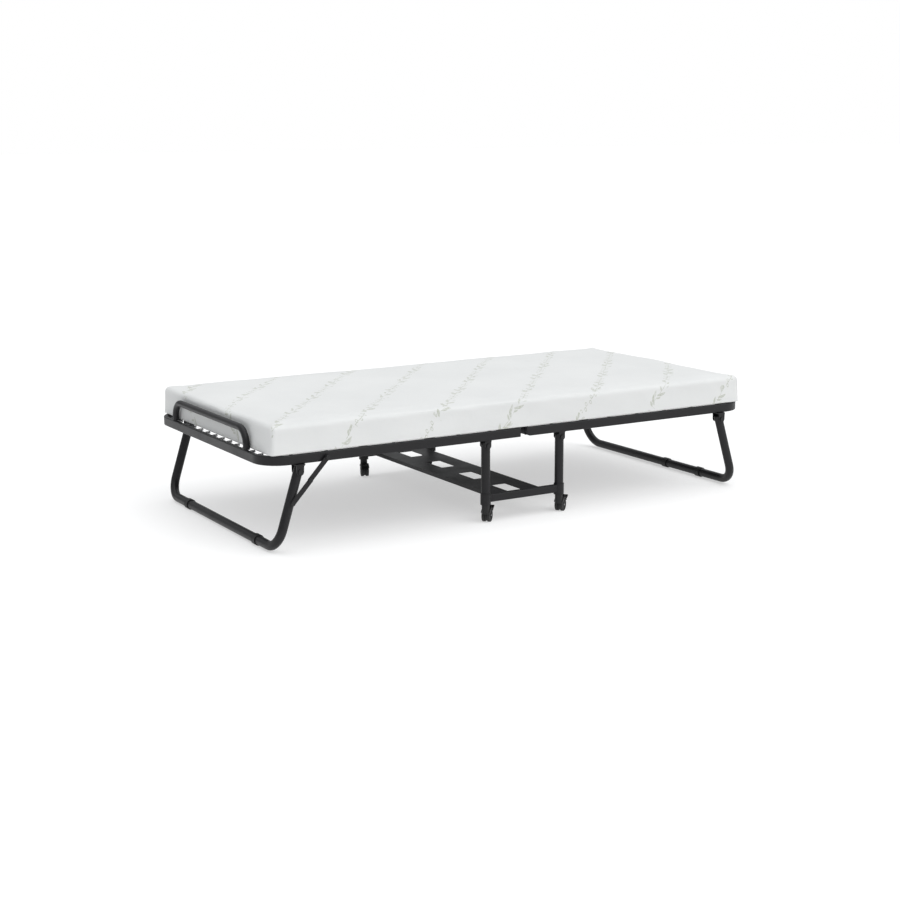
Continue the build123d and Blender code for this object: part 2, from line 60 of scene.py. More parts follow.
# ------------------------------------------------------------------ camera
YAW, PITCH, ROLL = 0.5398014, 0.2029362, -0.0035234
fwd = Vector((math.sin(YAW) * math.cos(PITCH), math.cos(YAW) * math.cos(PITCH), -math.sin(PITCH)))
right = fwd.cross(Vector((0, 0, 1))).normalized()
up = right.cross(fwd)
r2 = math.cos(ROLL) * right + math.sin(ROLL) * up
u2 = -math.sin(ROLL) * right + math.cos(ROLL) * up
cam_data = bpy.data.cameras.new("camera")
cam_data.sensor_width = 36.0
cam_data.lens = 36.0 * 1600.54 / 900.0
cam_data.clip_start, cam_data.clip_end = 0.05, 200.0
cam = bpy.data.objects.new("camera", cam_data)
scene.collection.objects.link(cam)
cam.matrix_world = Matrix.Translation((-2.89737, -4.79222, 1.30745)) @ Matrix((r2, u2, -fwd)).transposed().to_4x4()
scene.camera = cam

# ------------------------------------------------------- stage and lighting
scene.view_settings.view_transform = "Standard"
world = bpy.data.worlds.new("studio")
scene.world = world
world.use_nodes = True
wn = world.node_tree
wn.nodes.clear()
w_out = wn.nodes.new("ShaderNodeOutputWorld")
w_bg = wn.nodes.new("ShaderNodeBackground")
w_tc = wn.nodes.new("ShaderNodeTexCoord")
w_sep = wn.nodes.new("ShaderNodeSeparateXYZ")
wn.links.new(w_tc.outputs["Generated"], w_sep.inputs[0])
w_ramp = wn.nodes.new("ShaderNodeMapRange")
w_ramp.inputs["From Min"].default_value = 0.02
w_ramp.inputs["From Max"].default_value = 0.55
w_ramp.inputs["To Min"].default_value = 0.24
w_ramp.inputs["To Max"].default_value = 0.80
wn.links.new(w_sep.outputs[2], w_ramp.inputs["Value"])
wn.links.new(w_ramp.outputs["Result"], w_bg.inputs["Strength"])
w_bg.inputs["Color"].default_value = (0.97, 0.985, 1.0, 1)
w_cam = wn.nodes.new("ShaderNodeBackground")
w_cam.inputs["Color"].default_value = (1.0, 1.0, 1.0, 1)
w_cam.inputs["Strength"].default_value = 1.0
w_lp = wn.nodes.new("ShaderNodeLightPath")
w_mix = wn.nodes.new("ShaderNodeMixShader")
wn.links.new(w_lp.outputs["Is Camera Ray"], w_mix.inputs["Fac"])
wn.links.new(w_bg.outputs[0], w_mix.inputs[1])
wn.links.new(w_cam.outputs[0], w_mix.inputs[2])
wn.links.new(w_mix.outputs[0], w_out.inputs["Surface"])


def sun(name, direction, strength, angle, colour=(1, 1, 1)):
    data = bpy.data.lights.new(name, "SUN")
    data.energy, data.angle, data.color = strength, math.radians(angle), colour
    o = bpy.data.objects.new(name, data)
    scene.collection.objects.link(o)
    o.rotation_mode = "QUATERNION"
    o.rotation_quaternion = Vector(direction).to_track_quat("-Z", "Y")
    return o


sun("top_soft", (-0.10, 0.12, -1.0), 1.12, 75)
sun("front_soft", (-0.38, 0.78, -0.62), 0.92, 50, (1.0, 0.995, 0.985))


# --------------------------------------------------------------- node helper
class Tree:
    """Short names for building a material's nodes."""

    def __init__(self, name):
        self.mat = bpy.data.materials.new(name)
        self.mat.use_nodes = True
        self.t = self.mat.node_tree
        self.t.nodes.clear()
        self.out = self.t.nodes.new("ShaderNodeOutputMaterial")
        self.bsdf = self.t.nodes.new("ShaderNodeBsdfPrincipled")
        self.t.links.new(self.bsdf.outputs[0], self.out.inputs["Surface"])

    def link(self, a, b):
        self.t.links.new(a, b)

    def new(self, kind, **props):
        n = self.t.nodes.new(kind)
        for k, v in props.items():
            setattr(n, k, v)
        return n

    def put(self, socket, v):
        if isinstance(v, bpy.types.NodeSocket):
            self.link(v, socket)
        else:
            socket.default_value = v

    def math(self, op, a, b=0.0, c=0.0, clamp=False):
        n = self.new("ShaderNodeMath", operation=op, use_clamp=clamp)
        self.put(n.inputs[0], a)
        self.put(n.inputs[1], b)
        self.put(n.inputs[2], c)
        return n.outputs[0]

    def coords(self):
        return self.new("ShaderNodeTexCoord").outputs["Object"]

    def scaled(self, vec, s):
        n = self.new("ShaderNodeVectorMath", operation="MULTIPLY")
        self.put(n.inputs[0], vec)
        n.inputs[1].default_value = s if hasattr(s, "__len__") else (s, s, s)
        return n.outputs[0]

    def noise(self, vec, scale, detail=3.0, rough=0.55, distortion=0.0):
        n = self.new("ShaderNodeTexNoise")
        self.put(n.inputs["Vector"], vec)
        n.inputs["Scale"].default_value = scale
        n.inputs["Detail"].default_value = detail
        n.inputs["Roughness"].default_value = rough
        n.inputs["Distortion"].default_value = distortion
        return n.outputs["Fac"]

    def ramp(self, fac, lo, hi, a=0.0, b=1.0):
        n = self.new("ShaderNodeMapRange")
        self.put(n.inputs["Value"], fac)
        n.inputs["From Min"].default_value = lo
        n.inputs["From Max"].default_value = hi
        n.inputs["To Min"].default_value = a
        n.inputs["To Max"].default_value = b
        return n.outputs["Result"]

    def mix(self, fac, a, b):
        n = self.new("ShaderNodeMix", data_type="RGBA")
        self.put(n.inputs["Factor"], fac)
        for s, v in ((n.inputs["A"], a), (n.inputs["B"], b)):
            pass
        self.put(n.inputs[6], a if isinstance(a, bpy.types.NodeSocket) else (*a, 1))
        self.put(n.inputs[7], b if isinstance(b, bpy.types.NodeSocket) else (*b, 1))
        return n.outputs[2]

    def bump(self, height, strength, distance, normal=None):
        n = self.new("ShaderNodeBump")
        n.inputs["Strength"].default_value = strength
        n.inputs["Distance"].default_value = distance
        self.put(n.inputs["Height"], height)
        if normal is not None:
            self.link(normal, n.inputs["Normal"])
        return n.outputs["Normal"]

    def set(self, **values):
        for k, v in values.items():
            s = self.bsdf.inputs[k.replace("_", " ")]
            if isinstance(v, (tuple, list)):
                v = (*v, 1) if len(v) == 3 and len(s.default_value) == 4 else v
            self.put(s, v)


# ----------------------------------------------------------------- materials
def powder_coat(name, base, rough=0.40, coat=0.0):
    """Satin powder coat: fine orange peel, faint gloss drift and a little lint."""
    m = Tree(name)
    c = m.coords()
    fine = m.noise(c, 1150, 2.0)
    mid = m.noise(c, 320, 2.0)
    drift = m.noise(c, 7.0, 3.0)
    lint = m.noise(c, 2300, 1.0, 0.4)
    tone = m.mix(m.ramp(drift, 0.35, 0.68), tuple(0.86 * x for x in base), tuple(1.18 * x for x in base))
    speck = m.ramp(lint, 0.70, 0.78)
    col = m.mix(m.math("MULTIPLY", speck, 0.35), tone, tuple(min(1, 3.2 * x + 0.02) for x in base))
    height = m.math("ADD", m.math("MULTIPLY", fine, 0.55), m.math("MULTIPLY", mid, 0.45))
    m.set(Base_Color=col, Roughness=m.ramp(drift, 0.3, 0.7, rough - 0.05, rough + 0.07),
          Normal=m.bump(height, 0.32, 0.0005))
    m.bsdf.inputs["Specular IOR Level"].default_value = 0.30
    return m.mat


def plastic(name, base, rough=0.5, grain=900):
    """Moulded plastic with a fine spark-eroded grain."""
    m = Tree(name)
    c = m.coords()
    g = m.noise(c, grain, 3.0, 0.6)
    d = m.noise(c, 25.0, 3.0)
    col = m.mix(m.ramp(d, 0.3, 0.7), tuple(0.85 * x for x in base), tuple(1.25 * x for x in base))
    m.set(Base_Color=col, Roughness=m.ramp(d, 0.3, 0.7, rough - 0.06, rough + 0.08), Normal=m.bump(g, 0.35, 0.0004))
    m.bsdf.inputs["Specular IOR Level"].default_value = 0.35
    return m.mat


def rubber(name, base):
    """Wheel tread: dull, scuffed lighter where it rolls."""
    m = Tree(name)
    c = m.coords()
    g = m.noise(c, 650, 4.0, 0.65)
    d = m.noise(c, 60.0, 4.0, 0.6)
    scuff = m.ramp(d, 0.55, 0.72)
    col = m.mix(m.math("MULTIPLY", scuff, 0.5), base, tuple(2.6 * x + 0.01 for x in base))
    m.set(Base_Color=col, Roughness=m.ramp(d, 0.35, 0.7, 0.55, 0.78), Normal=m.bump(g, 0.45, 0.0006))
    return m.mat


def steel(name, base, rough=0.32, streak=(400, 400, 60)):
    """Drawn steel with streaks and light tarnish."""
    m = Tree(name)
    c = m.coords()
    s = m.noise(m.scaled(c, streak), 1.0, 3.0)
    d = m.noise(c, 45.0, 4.0)
    col = m.mix(m.ramp(d, 0.35, 0.7), tuple(0.72 * x for x in base), base)
    m.set(Base_Color=col, Roughness=m.ramp(s, 0.3, 0.7, rough - 0.07, rough + 0.10), Normal=m.bump(s, 0.12, 0.0002))
    m.bsdf.inputs["Metallic"].default_value = 1.0
    return m.mat


def woven(name, base, pitch=0.0022):
    """Flat woven tape cloth: warp and weft over and under, with yarn to yarn variation, and painted shade where the
    yarns dip under.
    """
    m = Tree(name)
    c = m.coords()
    sep = m.new("ShaderNodeSeparateXYZ")
    m.link(c, sep.inputs[0])
    x = m.math("MULTIPLY", sep.outputs[0], 1.0 / pitch)
    y = m.math("MULTIPLY", sep.outputs[1], 1.0 / pitch)
    wx = m.math("ABSOLUTE", m.math("SINE", m.math("MULTIPLY", x, math.pi)))
    wy = m.math("ABSOLUTE", m.math("SINE", m.math("MULTIPLY", y, math.pi)))
    cell = m.math("ADD", m.math("FLOOR", x), m.math("FLOOR", y))
    over = m.math("MODULO", m.math("ABSOLUTE", cell), 2.0)
    n = m.new("ShaderNodeMix", data_type="FLOAT")
    m.put(n.inputs[0], over)
    m.put(n.inputs[2], wx)
    m.put(n.inputs[3], wy)
    height = n.outputs[0]
    yarn = m.noise(m.scaled(c, (18, 520, 1)), 1.0, 2.0)
    yarn2 = m.noise(m.scaled(c, (520, 18, 1)), 1.0, 2.0)
    var = m.math("MULTIPLY", m.math("ADD", yarn, yarn2), 0.5)
    col = m.mix(m.ramp(var, 0.35, 0.65), tuple(0.7 * v for v in base), tuple(1.45 * v for v in base))
    # painted shade: the low points of the weave, where the yarns dip under, are painted darker
    col = m.mix(m.math("MULTIPLY", m.math("SUBTRACT", 1.0, height), 0.55), col, tuple(0.35 * v for v in base))
    m.set(Base_Color=col, Roughness=0.62, Normal=m.bump(height, 0.5, 0.0008))
    m.bsdf.inputs["Sheen Weight"].default_value = 0.15
    return m.mat


ROW_ANGLE = math.radians(50.3)
ROW_PITCH = 0.3003 * math.sin(ROW_ANGLE)
ROW_T0 = 0.016 * math.sin(ROW_ANGLE) - 0.45 * math.cos(ROW_ANGLE)


def knit_cover(name):
    """White knitted mattress cover: fine rib with painted shade in the hollows between stitches, soft quilting
    relief and rows of printed leaf sprigs that run on over the edges.
    """
    m = Tree(name)
    uv = m.new("ShaderNodeAttribute", attribute_name="cover_uv").outputs["Vector"]
    sep = m.new("ShaderNodeSeparateXYZ")
    m.link(uv, sep.inputs[0])
    u, v = sep.outputs[0], sep.outputs[1]
    ca, sa = math.cos(ROW_ANGLE), math.sin(ROW_ANGLE)
    s = m.math("ADD", m.math("MULTIPLY", u, ca), m.math("MULTIPLY", v, sa))
    t = m.math("ADD", m.math("MULTIPLY", u, -sa), m.math("MULTIPLY", v, ca))
    row = m.math("FLOOR", m.math("DIVIDE", m.math("SUBTRACT", t, ROW_T0 - ROW_PITCH / 2), ROW_PITCH))
    tt = m.math("SUBTRACT", m.math("SUBTRACT", t, ROW_T0), m.math("MULTIPLY", row, ROW_PITCH))
    s = m.math("ADD", m.math("ADD", s, 4.0), m.math("MULTIPLY", row, 0.083))

    def leaves(period, shift, length, width, angle, off, seed):
        """One leaf in every stretch of period along the row, up one side and then the other."""
        q = m.math("DIVIDE", m.math("ADD", s, shift), period)
        idx = m.math("FLOOR", q)
        local = m.math("MULTIPLY", m.math("SUBTRACT", m.math("FRACT", q), 0.5), period)
        side = m.math("SUBTRACT", m.math("MULTIPLY", m.math("MODULO", idx, 2.0), 2.0), 1.0)
        comb = m.new("ShaderNodeCombineXYZ")
        m.put(comb.inputs[0], idx)
        m.put(comb.inputs[1], row)
        comb.inputs[2].default_value = seed
        wnz = m.new("ShaderNodeTexWhiteNoise", noise_dimensions="3D")
        m.link(comb.outputs[0], wnz.inputs["Vector"])
        r = wnz.outputs["Value"]
        csep = m.new("ShaderNodeSeparateColor")
        m.link(wnz.outputs["Color"], csep.inputs[0])
        rb, rc = csep.outputs[0], csep.outputs[1]
        a = m.math("MULTIPLY", side, m.math("ADD", angle, m.math("MULTIPLY", m.math("SUBTRACT", r, 0.5), 0.7)))
        size = m.math("ADD", 0.72, m.math("MULTIPLY", rb, 0.5))
        dy = m.math("SUBTRACT", tt, m.math("MULTIPLY", side, off))
        cosa, sina = m.math("COSINE", a), m.math("SINE", a)
        lx = m.math("ADD", m.math("MULTIPLY", local, cosa), m.math("MULTIPLY", dy, sina))
        ly = m.math("SUBTRACT", m.math("MULTIPLY", dy, cosa), m.math("MULTIPLY", local, sina))
        # a leaf bows a little along its length
        ly = m.math("ADD", ly, m.math("MULTIPLY", m.math("MULTIPLY", lx, lx), m.math("MULTIPLY", side, 9.0)))
        fx = m.math("DIVIDE", lx, m.math("MULTIPLY", size, length / 2))
        fy = m.math("DIVIDE", m.math("ABSOLUTE", ly), m.math("MULTIPLY", size, width / 2))
        f = m.math("ADD", fy, m.math("MULTIPLY", fx, fx))
        blade = m.ramp(f, 1.06, 0.90)
        vein = m.ramp(m.math("ABSOLUTE", ly), 0.0003, 0.0009, 0.45, 1.0)
        there = m.math("GREATER_THAN", rc, 0.12)
        return m.math("MULTIPLY", m.math("MULTIPLY", m.math("MULTIPLY", blade, vein), there), 1.0, clamp=True)

    # sprigs take most of each long stretch of a row, with a breathing gap
    long_q = m.math("FRACT", m.math("DIVIDE", s, 0.268))
    in_sprig = m.math("MULTIPLY", m.math("GREATER_THAN", long_q, 0.06), m.math("LESS_THAN", long_q, 0.66))
    in_gap = m.math("SUBTRACT", 1.0, in_sprig)
    big = leaves(0.0340, 0.0, 0.040, 0.0090, 0.52, 0.0090, 1.0)
    small = leaves(0.0340, 0.0170, 0.026, 0.0070, 0.85, 0.0062, 2.0)
    tuft = leaves(0.0520, 0.009, 0.024, 0.0070, 0.30, 0.0150, 3.0)
    # a run of outlined seed pods closes each sprig
    pq = m.math("DIVIDE", m.math("ADD", s, 0.004), 0.0160)
    pside = m.math("SUBTRACT", m.math("MULTIPLY", m.math("MODULO", m.math("FLOOR", pq), 2.0), 2.0), 1.0)
    plx = m.math("MULTIPLY", m.math("SUBTRACT", m.math("FRACT", pq), 0.5), 0.0160)
    ply = m.math("SUBTRACT", tt, m.math("MULTIPLY", pside, 0.0052))
    plx = m.math("ADD", plx, m.math("MULTIPLY", ply, -0.35))
    pr = m.math("SQRT", m.math("ADD", m.math("POWER", m.math("DIVIDE", plx, 0.0048), 2.0), m.math("POWER", m.math("DIVIDE", ply, 0.0068), 2.0)))
    pods = m.ramp(m.math("ABSOLUTE", m.math("SUBTRACT", pr, 0.85)), 0.24, 0.14)
    wave = m.math("MULTIPLY", m.math("SINE", m.math("MULTIPLY", s, 2 * math.pi / 0.134)), 0.0022)
    stem = m.ramp(m.math("ABSOLUTE", m.math("SUBTRACT", tt, wave)), 0.0013, 0.0006)
    broken = m.ramp(m.noise(uv, 34, 2.0), 0.46, 0.54, 0.25, 1.0)
    stem = m.math("MULTIPLY", stem, broken)
    ink = m.math("MULTIPLY", m.math("MAXIMUM", m.math("MAXIMUM", big, small), stem), in_sprig)
    in_pods = m.math("MULTIPLY", m.math("GREATER_THAN", long_q, 0.68), in_gap)
    ink = m.math("MAXIMUM", ink, m.math("MULTIPLY", m.math("MAXIMUM", pods, stem), in_pods))
    ink = m.math("MAXIMUM", ink, m.math("MULTIPLY", tuft, m.math("MULTIPLY", in_sprig, 0.6)))
    worn = m.noise(uv, 160, 3.0)
    ink = m.math("MULTIPLY", ink, m.ramp(worn, 0.30, 0.62, 0.30, 0.92))

    # knitted rib: columns of stitches
    ku = m.math("MULTIPLY", u, 2 * math.pi / 0.0024)
    kv = m.math("MULTIPLY", v, 2 * math.pi / 0.0020)
    rib = m.math("ADD", m.math("MULTIPLY", m.math("SINE", ku), 0.5), 0.5)
    stitch = m.math("ADD", m.math("MULTIPLY", m.math("SINE", m.math("ADD", kv, m.math("MULTIPLY", m.math("SINE", ku), 1.3))), 0.5), 0.5)
    knit = m.math("MULTIPLY", rib, stitch)
    # soft relief of a lightly filled knit, an inch or so across
    puff = m.noise(uv, 26, 2.0, 0.45)
    drift = m.noise(uv, 3.0, 3.0)
    fuzz = m.noise(uv, 1400, 2.0)
    base = m.mix(m.ramp(drift, 0.35, 0.68), (0.658, 0.666, 0.664), (0.694, 0.701, 0.698))
    # painted shade: the hollows between the knit's stitches are painted darker
    base = m.mix(m.math("MULTIPLY", m.math("SUBTRACT", 1.0, knit), 0.10), base, (0.54, 0.55, 0.53))
    colour = m.mix(m.math("MULTIPLY", ink, 0.80), base, (0.315, 0.335, 0.245))
    h1 = m.math("ADD", m.math("MULTIPLY", knit, 0.6), m.math("MULTIPLY", fuzz, 0.4))
    n1 = m.bump(puff, 0.25, 0.004)
    n2 = m.bump(h1, 0.28, 0.0007, n1)
    m.set(Base_Color=colour, Roughness=m.ramp(fuzz, 0.3, 0.7, 0.82, 0.94), Normal=n2)
    m.bsdf.inputs["Sheen Weight"].default_value = 0.22
    m.bsdf.inputs["Sheen Roughness"].default_value = 0.45
    m.bsdf.inputs["Specular IOR Level"].default_value = 0.25
    return m.mat


MAT = {
    "frame_paint": powder_coat("black_powder_coat", (0.0088, 0.0085, 0.0098), 0.40),
    "fastener_black": powder_coat("black_fasteners", (0.013, 0.013, 0.014), 0.32),
    "caster_plastic": plastic("black_nylon", (0.0085, 0.0085, 0.009), 0.44),
    "caster_tread": rubber("black_tread", (0.011, 0.011, 0.0115)),
    "floor_sleeve_plastic": plastic("sleeve_plastic", (0.009, 0.009, 0.0095), 0.50, 700),
    "axle_steel": steel("axle_steel", (0.52, 0.52, 0.53)),
    "spring_steel": steel("spring_steel", (0.20, 0.20, 0.21), 0.36, (300, 300, 300)),
    "deck_cloth": woven("black_deck_cloth", (0.022, 0.022, 0.025)),
    "mattress_cover": knit_cover("knitted_cover"),
}
slot_of = {s["node"]: s["material_slot"] for s in frame["record"]["subparts"]}
for name, o in nodes.items():
    mat = MAT[slot_of[name]]
    o.data.materials.clear()
    o.data.materials.append(mat)


def piece(name, verts, faces, mat, slot, smooth=True):
    mesh = bpy.data.meshes.new(name)
    mesh.from_pydata(verts, [], faces)
    mesh.update()
    o = bpy.data.objects.new(name, mesh)
    scene.collection.objects.link(o)
    if smooth:
        mesh.shade_smooth()
    mesh.materials.append(mat)
    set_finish(o, slot)
    return o


# ------------------------------------------------------------------ mattress
HX, HY = 0.9262, 0.4478
Z0, Z1 = 0.3104, 0.4050
EDGE = 0.017
FOOT_EDGE = 0.005


def graded(half, edge, step):
    """Stations along one side: close together round the edge, even between, with one at 0."""
    rim = [0.0, 0.0018, 0.0042, 0.0072, 0.0108, 0.0150, 0.0200, 0.0270, 0.0360]
    n = int(round((half - rim[-1]) / step))
    inner = [(half - rim[-1]) * i / n for i in range(n)]
    right_side = inner + [half - r for r in reversed(rim)]
    return [-x for x in reversed(right_side[1:])] + right_side


xs = graded(HX, EDGE, 0.0135)
ys = graded(HY, EDGE, 0.0135)
hz = (Z1 - Z0) / 2
rim_z = [0.0, 0.0018, 0.0042, 0.0072, 0.0108, 0.0150, 0.0215, 0.0300]
zs = sorted([-hz + r for r in rim_z] + [hz - r for r in rim_z] + [0.0])

index, verts, flat = {}, [], []


def vert(i, j, k):
    key = (i, j, k)
    if key not in index:
        p = Vector((xs[i], ys[j], zs[k]))
        ez = EDGE if p.z > 0 else FOOT_EDGE
        inner = Vector((
            max(-(HX - EDGE), min(HX - EDGE, p.x)),
            max(-(HY - EDGE), min(HY - EDGE, p.y)),
            max(-(hz - ez), min(hz - ez, p.z)),
        ))
        d = p - inner
        d = Vector((d.x / EDGE, d.y / EDGE, d.z / ez))
        if d.length > 1e-9:
            d = d.normalized()
            q = inner + Vector((d.x * EDGE, d.y * EDGE, d.z * ez))
        else:
            q = p
        index[key] = len(verts)
        verts.append((q.x, q.y, q.z + (Z0 + Z1) / 2))
        flat.append((p.x, p.y, p.z))
    return index[key]


faces, face_uv = [], []
NX, NY, NZ = len(xs) - 1, len(ys) - 1, len(zs) - 1


def cover_uv(p, which):
    x, y, z = p
    d = hz - z
    if which == "top":
        return (x, y, 0)
    if which == "near":
        return (x, -HY - d, 0)
    if which == "far":
        return (x, HY + d, 0)
    if which == "head":
        return (-HX - d, y, 0)
    if which == "foot":
        return (HX + d, y, 0)
    return (x + 0.11, y * 1.0 + 5.0, 0)


def quad(a, b, c, d, which):
    ids = [vert(*a), vert(*b), vert(*c), vert(*d)]
    faces.append(ids)
    face_uv.append([cover_uv(flat[i], which) for i in ids])


for i in range(NX):
    for j in range(NY):
        quad((i, j, NZ), (i + 1, j, NZ), (i + 1, j + 1, NZ), (i, j + 1, NZ), "top")
        quad((i, j, 0), (i, j + 1, 0), (i + 1, j + 1, 0), (i + 1, j, 0), "bottom")
    for k in range(NZ):
        quad((i, 0, k), (i + 1, 0, k), (i + 1, 0, k + 1), (i, 0, k + 1), "near")
        quad((i, NY, k), (i, NY, k + 1), (i + 1, NY, k + 1), (i + 1, NY, k), "far")
for j in range(NY):
    for k in range(NZ):
        quad((0, j, k), (0, j, k + 1), (0, j + 1, k + 1), (0, j + 1, k), "head")
        quad((NX, j, k), (NX, j + 1, k), (NX, j + 1, k + 1), (NX, j, k + 1), "foot")

rest = np.array(verts)
puffed = rest.copy()
# the cover is blown out by the foam inside it, then held to a few millimetres
mesh = bpy.data.meshes.new("cover_sim")
mesh.from_pydata(verts, [], faces)
sim = bpy.data.objects.new("cover_sim", mesh)
scene.collection.objects.link(sim)
held = sim.vertex_groups.new(name="held")
low = [i for i, p in enumerate(verts) if p[2] < Z0 + 0.006]
held.add(low, 1.0, "REPLACE")
cloth = sim.modifiers.new("cloth", "CLOTH")
st = cloth.settings
st.quality = 4
st.mass = 0.35
st.tension_stiffness = st.compression_stiffness = 12
st.shear_stiffness = 6
st.bending_stiffness = 0.8
st.vertex_group_mass = "held"
st.use_pressure = True
st.uniform_pressure_force = 3.0
st.effector_weights.gravity = 0
cloth.point_cache.frame_start, cloth.point_cache.frame_end = 1, 16
for f in range(1, 17):
    scene.frame_set(f)
dg = bpy.context.evaluated_depsgraph_get()
ev = sim.evaluated_get(dg)
got = np.array([v.co for v in ev.data.vertices])
if got.shape == rest.shape and np.isfinite(got).all():
    puffed = got
bpy.data.objects.remove(sim)
bpy.data.meshes.remove(mesh)
scene.frame_set(1)
move = puffed - rest
length = np.linalg.norm(move, axis=1)
height = np.clip((rest[:, 2] - Z0) / (Z1 - Z0), 0, 1)
cap = 0.0006 + 0.0042 * np.clip(height * 1.6, 0, 1)
if length.max() < 1e-5:
    away = rest - np.clip(rest, [-HX + 0.05, -HY + 0.05, Z0 + 0.04], [HX - 0.05, HY - 0.05, Z1 - 0.04])
    away /= np.maximum(np.linalg.norm(away, axis=1), 1e-6)[:, None]
    move = away * cap[:, None]
else:
    # eases into the cap instead of stopping at it
    move *= (cap * np.tanh(length / cap) / np.maximum(length, 1e-9))[:, None]
shaped = rest + move


def waves(p, seed, cell, amp):
    """Smooth, repeatable bumps."""
    rng = np.random.default_rng(seed)
    out = np.zeros(len(p))
    for _ in range(7):
        k = rng.normal(size=2)
        k *= (2 * math.pi / cell) * rng.uniform(0.6, 1.4) / np.linalg.norm(k)
        out += np.sin(p[:, 0] * k[0] + p[:, 1] * k[1] + rng.uniform(0, 2 * math.pi))
    return out * amp / 2.6


top = np.clip((rest[:, 2] - (Z1 - 0.012)) / 0.010, 0, 1)
shaped[:, 2] += top * (waves(rest, 11, 0.42, 0.0011) + waves(rest, 12, 0.16, 0.00045) - 0.0004)
side_xy = np.clip((height - 0.12) / 0.3, 0, 1) * (1 - top)
near_side = side_xy * (np.abs(rest[:, 1]) > HY - 0.004)
along = np.stack([rest[:, 0], rest[:, 2] * 2.0], 1)
shaped[:, 1] += near_side * np.sign(rest[:, 1]) * (waves(along, 21, 0.30, 0.0011) + waves(along, 22, 0.11, 0.0004))
ends = side_xy * (np.abs(rest[:, 0]) > HX - 0.004)
along = np.stack([rest[:, 1], rest[:, 2] * 2.0], 1)
shaped[:, 0] += ends * np.sign(rest[:, 0]) * waves(along, 23, 0.26, 0.0009)
# the foam settles on to the rails and never goes through them
shaped[:, 2] = np.maximum(shaped[:, 2], Z0)
shaped[:, 2] = np.minimum(shaped[:, 2], 0.4105)

for half, sign in (("head", -1), ("foot", 1)):
    used, vs, fs, uvs = {}, [], [], []

    def take(i):
        if i not in used:
            used[i] = len(vs)
            vs.append(tuple(shaped[i]))
        return used[i]

    for ids, uv in zip(faces, face_uv):
        cx = sum(rest[i, 0] for i in ids) / 4
        if cx * sign > 0:
            fs.append([take(i) for i in ids])
            uvs.append(uv)
    # closing face where the two halves of the cover meet
    rim = [(v, take(v)) for key, v in index.items() if abs(rest[v, 0]) < 1e-9]
    cy, cz = 0.0, (Z0 + Z1) / 2
    rim.sort(key=lambda r: math.atan2((rest[r[0], 2] - cz) / (Z1 - Z0), (rest[r[0], 1] - cy) / (2 * HY)))
    loop = [r[1] for r in rim]
    if sign > 0:
        loop = loop[::-1]
    fs.append(loop)
    uvs.append([(0, 5.0, 0)] * len(loop))
    o = piece(f"{half}_mattress_cover", vs, fs, MAT["mattress_cover"], "mattress_cover")
    att = o.data.attributes.new("cover_uv", "FLOAT_VECTOR", "CORNER")
    data = np.zeros((len(o.data.loops), 3), np.float32)
    n = 0
    for poly, uv in zip(o.data.polygons, uvs):
        for k, li in enumerate(poly.loop_indices):
            data[li] = uv[k]
    att.data.foreach_set("vector", data.ravel())
    o.data.polygons[len(fs) - 1].use_smooth = False
    cap_edges = set(o.data.polygons[len(fs) - 1].edge_keys)
    sharp = o.data.attributes.new("sharp_edge", "BOOLEAN", "EDGE")
    sharp.data.foreach_set("value", [tuple(sorted(e.vertices)) in cap_edges for e in o.data.edges])
    o.data.update()
    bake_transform(o)
    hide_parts(f"{half}_mattress", *(["middle_mattress"] if half == "head" else []))


